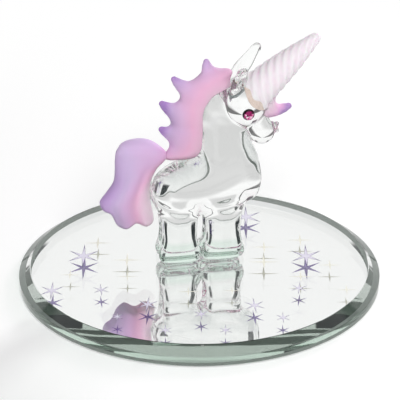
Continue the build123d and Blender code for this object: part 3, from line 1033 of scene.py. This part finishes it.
def make_crystal(name, side):
    corners = ring_points(EYE_RADIUS, 0, 2 * EYE_FACETS, 0)
    corners += ring_points(EYE_RADIUS, 0.22 * EYE_HEIGHT, 2 * EYE_FACETS, 0)
    corners += ring_points(0.84 * EYE_RADIUS, 0.66 * EYE_HEIGHT, EYE_FACETS, 0.5)
    corners += ring_points(EYE_TABLE * EYE_RADIUS, EYE_HEIGHT, EYE_FACETS, 0)
    outward = turn_about("z", side * 90) @ turn_about("y", 90 + EYE_DOWN)
    seat = np.array([0, 0, HEAD_RADIUS + CEMENT_FILM])
    placed = to_row((np.array(corners) + seat) @ outward.T + HEAD_CENTRE)
    bm = bmesh.new()
    for corner in placed:
        bm.verts.new(corner)
    bmesh.ops.convex_hull(bm, input=bm.verts)
    bmesh.ops.dissolve_limit(bm, angle_limit=radians(1), verts=bm.verts, edges=bm.edges)
    axis = Vector(YAW_TURN @ outward @ np.array([0, 0, 1]))
    bmesh.ops.recalc_face_normals(bm, faces=bm.faces)
    bmesh.ops.poke(bm, faces=[face for face in bm.faces if face.normal.dot(axis) > 0.95])
    mesh = mesh_from_bmesh(name, bm, radians(3))
    facet = mesh.attributes.new("tone", "FLOAT", "FACE")
    for face in mesh.polygons:
        tilt = face.normal.dot(axis)
        face.material_index = 1 if tilt < -0.99 else 0
        # Painted reflections: steps of the golden section spread the painted brightness from facet to facet, and the
        # steep facets are painted dark
        scatter = face.index * 0.618 % 1
        facet.data[face.index].value = np.clip((tilt - 0.5) / 0.3, 0, 1) * (0.15 + 0.85 * scatter)
    return mesh


crystal_materials = [MATERIALS["crystal"], MATERIALS["foil"]]
for side_name, side in SIDES.items():
    crystal = make_crystal(f"eye_{side_name}", side)
    add_piece(f"eye_{side_name}", crystal, crystal_materials, [f"eye_crystal_{side_name}"])

# Printed stars on the glass: (x, y, length, turn in degrees). They are pale above and coloured where
# they face the silver
PRINT_LIFT = 0.003
PRINT_THICKNESS = 0.012
FILL_SHARE = 0.72
TWINKLES = (
    (-32.8, 3.6, 15.0, 0),
    (30.3, 3.6, 15.0, 0),
    (13.7, 29.1, 15.0, 0),
    (-40.5, -17.5, 11.0, 0),
    (-27.0, -17.0, 7.5, 6),
    (-14.0, -25.5, 9.5, -4),
    (0.5, -31.0, 7.0, 3),
    (15.0, -26.0, 9.0, 5),
    (27.5, -16.0, 7.5, -6),
    (-22.0, -32.5, 6.0, 0),
    (22.5, -33.0, 6.5, 0),
    (7.0, -40.0, 6.0, 0),
    (-9.0, -40.0, 6.5, 0),
)
SPARKLES = (
    (-29.1, 11.9, 8.0),
    (-20.4, 1.1, 9.0),
    (18.5, 9.3, 8.0),
    (18.2, -0.1, 9.0),
    (29.0, 13.8, 8.0),
    (36.7, -2.0, 7.0),
    (28.2, -9.0, 7.0),
    (-36.0, -8.0, 6.0),
    (-3.0, -18.0, 6.0),
    (9.0, -17.5, 5.0),
    (-20.0, -9.0, 6.0),
    (40.5, -17.0, 6.0),
)


def star_outline(rays):
    """Outline of thin rays from a middle. Each ray is (angle, reach, half width at the waist)."""
    points = []
    count = len(rays)
    for i, (angle, reach, waist) in enumerate(rays):
        next_angle = rays[(i + 1) % count][0] + (tau if i == count - 1 else 0)
        points.append((reach * cos(angle), reach * sin(angle)))
        between = (angle + next_angle) / 2
        points.append((waist * cos(between), waist * sin(between)))
    return points


def add_star(bm, centre, turn, outline, layer, top_index, bottom_index):
    """A thin printed shape on the glass, in a numbered layer of the print, with its own material below."""
    bottom_z = PLATE_TOP + PRINT_LIFT + layer * (PRINT_LIFT + PRINT_THICKNESS)
    rings = []
    for height in (bottom_z, bottom_z + PRINT_THICKNESS):
        ring = []
        for x, y in outline:
            turned_x = x * cos(turn) - y * sin(turn)
            turned_y = x * sin(turn) + y * cos(turn)
            corner = Vector((centre[0] + turned_x, centre[1] + turned_y, height))
            ring.append(bm.verts.new(corner * MM))
        rings.append(ring)
    bottom = bm.faces.new(rings[0][::-1])
    bottom.material_index = bottom_index
    top = bm.faces.new(rings[1])
    top.material_index = top_index
    count = len(outline)
    for i in range(count):
        after = (i + 1) % count
        wall = bm.faces.new((rings[0][i], rings[0][after], rings[1][after], rings[1][i]))
        wall.material_index = bottom_index


def twinkle_rays(size, fill=1.0):
    """Six rays. With a fill under 1 they are shorter by that share but as wide in the middle."""
    side_angle = radians(38)
    side_reach = 0.36 * size * fill
    long_reach = 0.5 * size * fill
    waist = 0.075 * size * fill ** 0.3
    angles = (side_angle, pi / 2, pi - side_angle, pi + side_angle, 1.5 * pi, tau - side_angle)
    reaches = (side_reach, long_reach, side_reach, side_reach, long_reach, side_reach)
    return [(angle, reach, waist) for angle, reach in zip(angles, reaches)]


def sparkle_rays(size):
    return [(step * pi / 2, 0.5 * size, 0.055 * size) for step in range(4)]


stars = bmesh.new()
for x, y, size, turn in TWINKLES:
    add_star(stars, (x, y), radians(turn), star_outline(twinkle_rays(size)), 0, 0, 3)
    add_star(stars, (x, y), radians(turn), star_outline(twinkle_rays(size, FILL_SHARE)), 1, 1, 1)
for x, y, size in SPARKLES:
    add_star(stars, (x, y), 0.0, star_outline(sparkle_rays(size)), 0, 2, 4)
stars_mesh = bpy.data.meshes.new("printed_stars")
stars.to_mesh(stars_mesh)
stars.free()
star_materials = [
    MATERIALS[key] for key in ("print_outline", "print_pale", "print_cream", "foil_purple", "foil_cream")
]
add_piece("printed_stars", stars_mesh, star_materials)

# Stage: floor, world, lamps and camera
FLOOR_SIZE = 8.0
FLOOR_DROP = 0.00003
NEAR_FLOOR = 0.10
FAR_FLOOR = 0.24
FLOOR_COLOUR = 0.98
CARD_START = 0.07
CARD_FADE = 0.06
CARD_LEVEL = 0.16
# A painted shadow on the floor round the plate, seen only in glass and the mirror: where it begins and ends, and how
# grey it is
RING_START = 0.052
RING_START_FADE = 0.006
RING_END = 0.115
RING_END_FADE = 0.04
SHADOW_RING_LEVEL = 0.70
FLOOR_GLOW = 0.10


def add_side_cards(tree, distance):
    """Cards on the floor that only glass and the mirror show.

    They carry a painted shadow, grey round the plate, and are dark at both sides."""
    split = tree.nodes.new("ShaderNodeSeparateXYZ")
    tree.links.new(object_coordinates(tree), split.inputs["Vector"])
    beside = math_node(tree, "ABSOLUTE", split.outputs["X"], 0)
    inside = step_node(tree, beside, CARD_START + CARD_FADE / 2, CARD_FADE)
    # The ring of painted shadow round the plate
    begun = step_node(tree, distance, RING_START + RING_START_FADE / 2, RING_START_FADE)
    ended = step_node(tree, distance, RING_END - RING_END_FADE / 2, RING_END_FADE)
    ring = math_node(tree, "SUBTRACT", begun, ended)
    path = tree.nodes.new("ShaderNodeLightPath")
    shiny = math_node(tree, "MAXIMUM", path.outputs["Is Glossy Ray"], path.outputs["Is Transmission Ray"])
    shade = math_node(tree, "SUBTRACT", 1.0, math_node(tree, "MULTIPLY", ring, 1.0 - SHADOW_RING_LEVEL))
    dark = math_node(tree, "MULTIPLY", inside, 1.0 - CARD_LEVEL)
    card = tree.nodes.new("ShaderNodeEmission")
    level = math_node(tree, "MULTIPLY", shade, math_node(tree, "SUBTRACT", 1.0, dark))
    tree.links.new(level, card.inputs["Strength"])
    mix = tree.nodes.new("ShaderNodeMixShader")
    tree.links.new(shiny, mix.inputs["Fac"])
    tree.links.new(card.outputs["Emission"], mix.inputs[2])
    return mix


def make_floor():
    mesh = bpy.data.meshes.new("floor")
    half = FLOOR_SIZE / 2
    signs = ((-1, -1), (1, -1), (1, 1), (-1, 1))
    mesh.from_pydata([(half * x, half * y, -FLOOR_DROP) for x, y in signs], [], [(0, 1, 2, 3)])
    floor = bpy.data.objects.new("floor", mesh)
    bpy.context.collection.objects.link(floor)
    material, tree, shader, output = new_material("floor_white")
    tree.nodes.remove(shader)
    lit = tree.nodes.new("ShaderNodeBsdfDiffuse")
    lit.inputs["Color"].default_value = (FLOOR_COLOUR, FLOOR_COLOUR, FLOOR_COLOUR, 1)
    path = tree.nodes.new("ShaderNodeLightPath")
    glow = tree.nodes.new("ShaderNodeEmission")
    tree.links.new(
        math_node(tree, "MULTIPLY", path.outputs["Is Camera Ray"], FLOOR_GLOW), glow.inputs["Strength"]
    )
    near = tree.nodes.new("ShaderNodeAddShader")
    tree.links.new(lit.outputs["BSDF"], near.inputs[0])
    tree.links.new(glow.outputs["Emission"], near.inputs[1])
    far = tree.nodes.new("ShaderNodeEmission")
    far.inputs["Strength"].default_value = 1.0
    distance = tree.nodes.new("ShaderNodeVectorMath")
    distance.operation = "LENGTH"
    tree.links.new(object_coordinates(tree), distance.inputs[0])
    cards = add_side_cards(tree, distance.outputs["Value"])
    fade = step_node(tree, distance.outputs["Value"], (NEAR_FLOOR + FAR_FLOOR) / 2, FAR_FLOOR - NEAR_FLOOR)
    mix = tree.nodes.new("ShaderNodeMixShader")
    tree.links.new(math_node(tree, "MULTIPLY", path.outputs["Is Camera Ray"], fade), mix.inputs["Fac"])
    tree.links.new(near.outputs["Shader"], mix.inputs[1])
    tree.links.new(far.outputs["Emission"], mix.inputs[2])
    tree.links.new(mix.outputs["Shader"], cards.inputs[1])
    tree.links.new(cards.outputs["Shader"], output.inputs["Surface"])
    mesh.materials.append(material)


# What shows in the glass and the mirror, by height above the horizon as its sine: a white wall and a pale
# grey ceiling. Lamps and this world light the rest evenly
SKY = ((0.0, "#FFFFFF"), (0.5, "#FFFFFF"), (0.8, "#E6E8E8"), (1.0, "#DADDDD"))
WORLD_FILL = 0.34
# Dark upright strips in the wall, left and right of the figure, that draw the edges of its legs:
# how far from the sideways direction each begins and ends, as a tangent, then its foot and its top
STRIPS = ((0.20, 0.75, 0.0, 0.6), (1.4, 2.6, 0.36, 0.6))
STRIP_FADE = 0.06
STRIP_COLOUR = "#33383A"


def band_node(tree, value, start, end):
    """One between start and end, and nothing outside."""
    begun = step_node(tree, value, start, STRIP_FADE)
    return math_node(tree, "SUBTRACT", begun, step_node(tree, value, end, STRIP_FADE))


def add_strips(tree, split, wall):
    """The wall's colour with the dark strips in it."""
    beside = math_node(tree, "ABSOLUTE", split.outputs["X"], 0)
    ahead = math_node(tree, "ABSOLUTE", split.outputs["Y"], 0)
    turn = math_node(tree, "DIVIDE", ahead, math_node(tree, "MAXIMUM", beside, 0.001))
    inside = 0.0
    for start, end, foot, top in STRIPS:
        across = band_node(tree, turn, start, end)
        upright = band_node(tree, split.outputs["Z"], foot, top)
        inside = math_node(tree, "ADD", inside, math_node(tree, "MULTIPLY", across, upright))
    mix = tree.nodes.new("ShaderNodeMix")
    mix.data_type = "RGBA"
    mix.inputs["B"].default_value = hex_colour(STRIP_COLOUR)
    tree.links.new(inside, mix.inputs["Factor"])
    tree.links.new(wall, mix.inputs["A"])
    return mix.outputs["Result"]


def make_world():
    world = bpy.data.worlds.new("studio")
    bpy.context.scene.world = world
    world.use_nodes = True
    tree = world.node_tree
    tree.nodes.clear()
    output = tree.nodes.new("ShaderNodeOutputWorld")
    where = tree.nodes.new("ShaderNodeTexCoord")
    split = tree.nodes.new("ShaderNodeSeparateXYZ")
    tree.links.new(where.outputs["Generated"], split.inputs["Vector"])
    seen = tree.nodes.new("ShaderNodeBackground")
    wall = add_ramp(tree, split.outputs["Z"], SKY)
    tree.links.new(add_strips(tree, split, wall), seen.inputs["Color"])
    fill = tree.nodes.new("ShaderNodeBackground")
    fill.inputs["Strength"].default_value = WORLD_FILL
    path = tree.nodes.new("ShaderNodeLightPath")
    shiny = math_node(tree, "MAXIMUM", path.outputs["Is Glossy Ray"], path.outputs["Is Transmission Ray"])
    shown = math_node(tree, "MAXIMUM", path.outputs["Is Camera Ray"], shiny)
    mix = tree.nodes.new("ShaderNodeMixShader")
    tree.links.new(shown, mix.inputs["Fac"])
    tree.links.new(fill.outputs["Background"], mix.inputs[1])
    tree.links.new(seen.outputs["Background"], mix.inputs[2])
    tree.links.new(mix.outputs["Shader"], output.inputs["Surface"])


def add_lamp(name, place, aim, size, watts):
    lamp = bpy.data.lights.new(name, "AREA")
    lamp.shape = "DISK"
    lamp.size = size
    lamp.energy = watts
    holder = bpy.data.objects.new(name, lamp)
    holder.location = place
    holder.rotation_euler = (Vector(aim) - Vector(place)).to_track_quat("-Z", "Y").to_euler()
    holder.visible_transmission = False
    holder.visible_glossy = False
    bpy.context.collection.objects.link(holder)


make_floor()
make_world()
AIM = Vector((0.0, 0.0, 0.025))
add_lamp("back", (0.50, 0.75, 0.40), AIM, 0.25, 6.6)
add_lamp("front", (0.15, -0.8, 0.75), AIM, 0.6, 7.4)

CAMERA_TARGET = Vector((0.2, 0.0, 24.47)) * MM
CAMERA_DISTANCE = 0.6
CAMERA_ELEVATION = radians(25.3)
camera_data = bpy.data.cameras.new("camera")
camera_data.sensor_width = 36.0
camera_data.lens = 194.13
camera = bpy.data.objects.new("camera", camera_data)
camera_back = Vector((0, -cos(CAMERA_ELEVATION), sin(CAMERA_ELEVATION)))
camera.location = CAMERA_TARGET + CAMERA_DISTANCE * camera_back
camera.rotation_euler = (-camera_back).to_track_quat("-Z", "Y").to_euler()
bpy.context.collection.objects.link(camera)

scene = bpy.context.scene
scene.camera = camera
scene.view_settings.view_transform = "Standard"
scene.cycles.max_bounces = 24
scene.cycles.transmission_bounces = 24
scene.cycles.glossy_bounces = 16
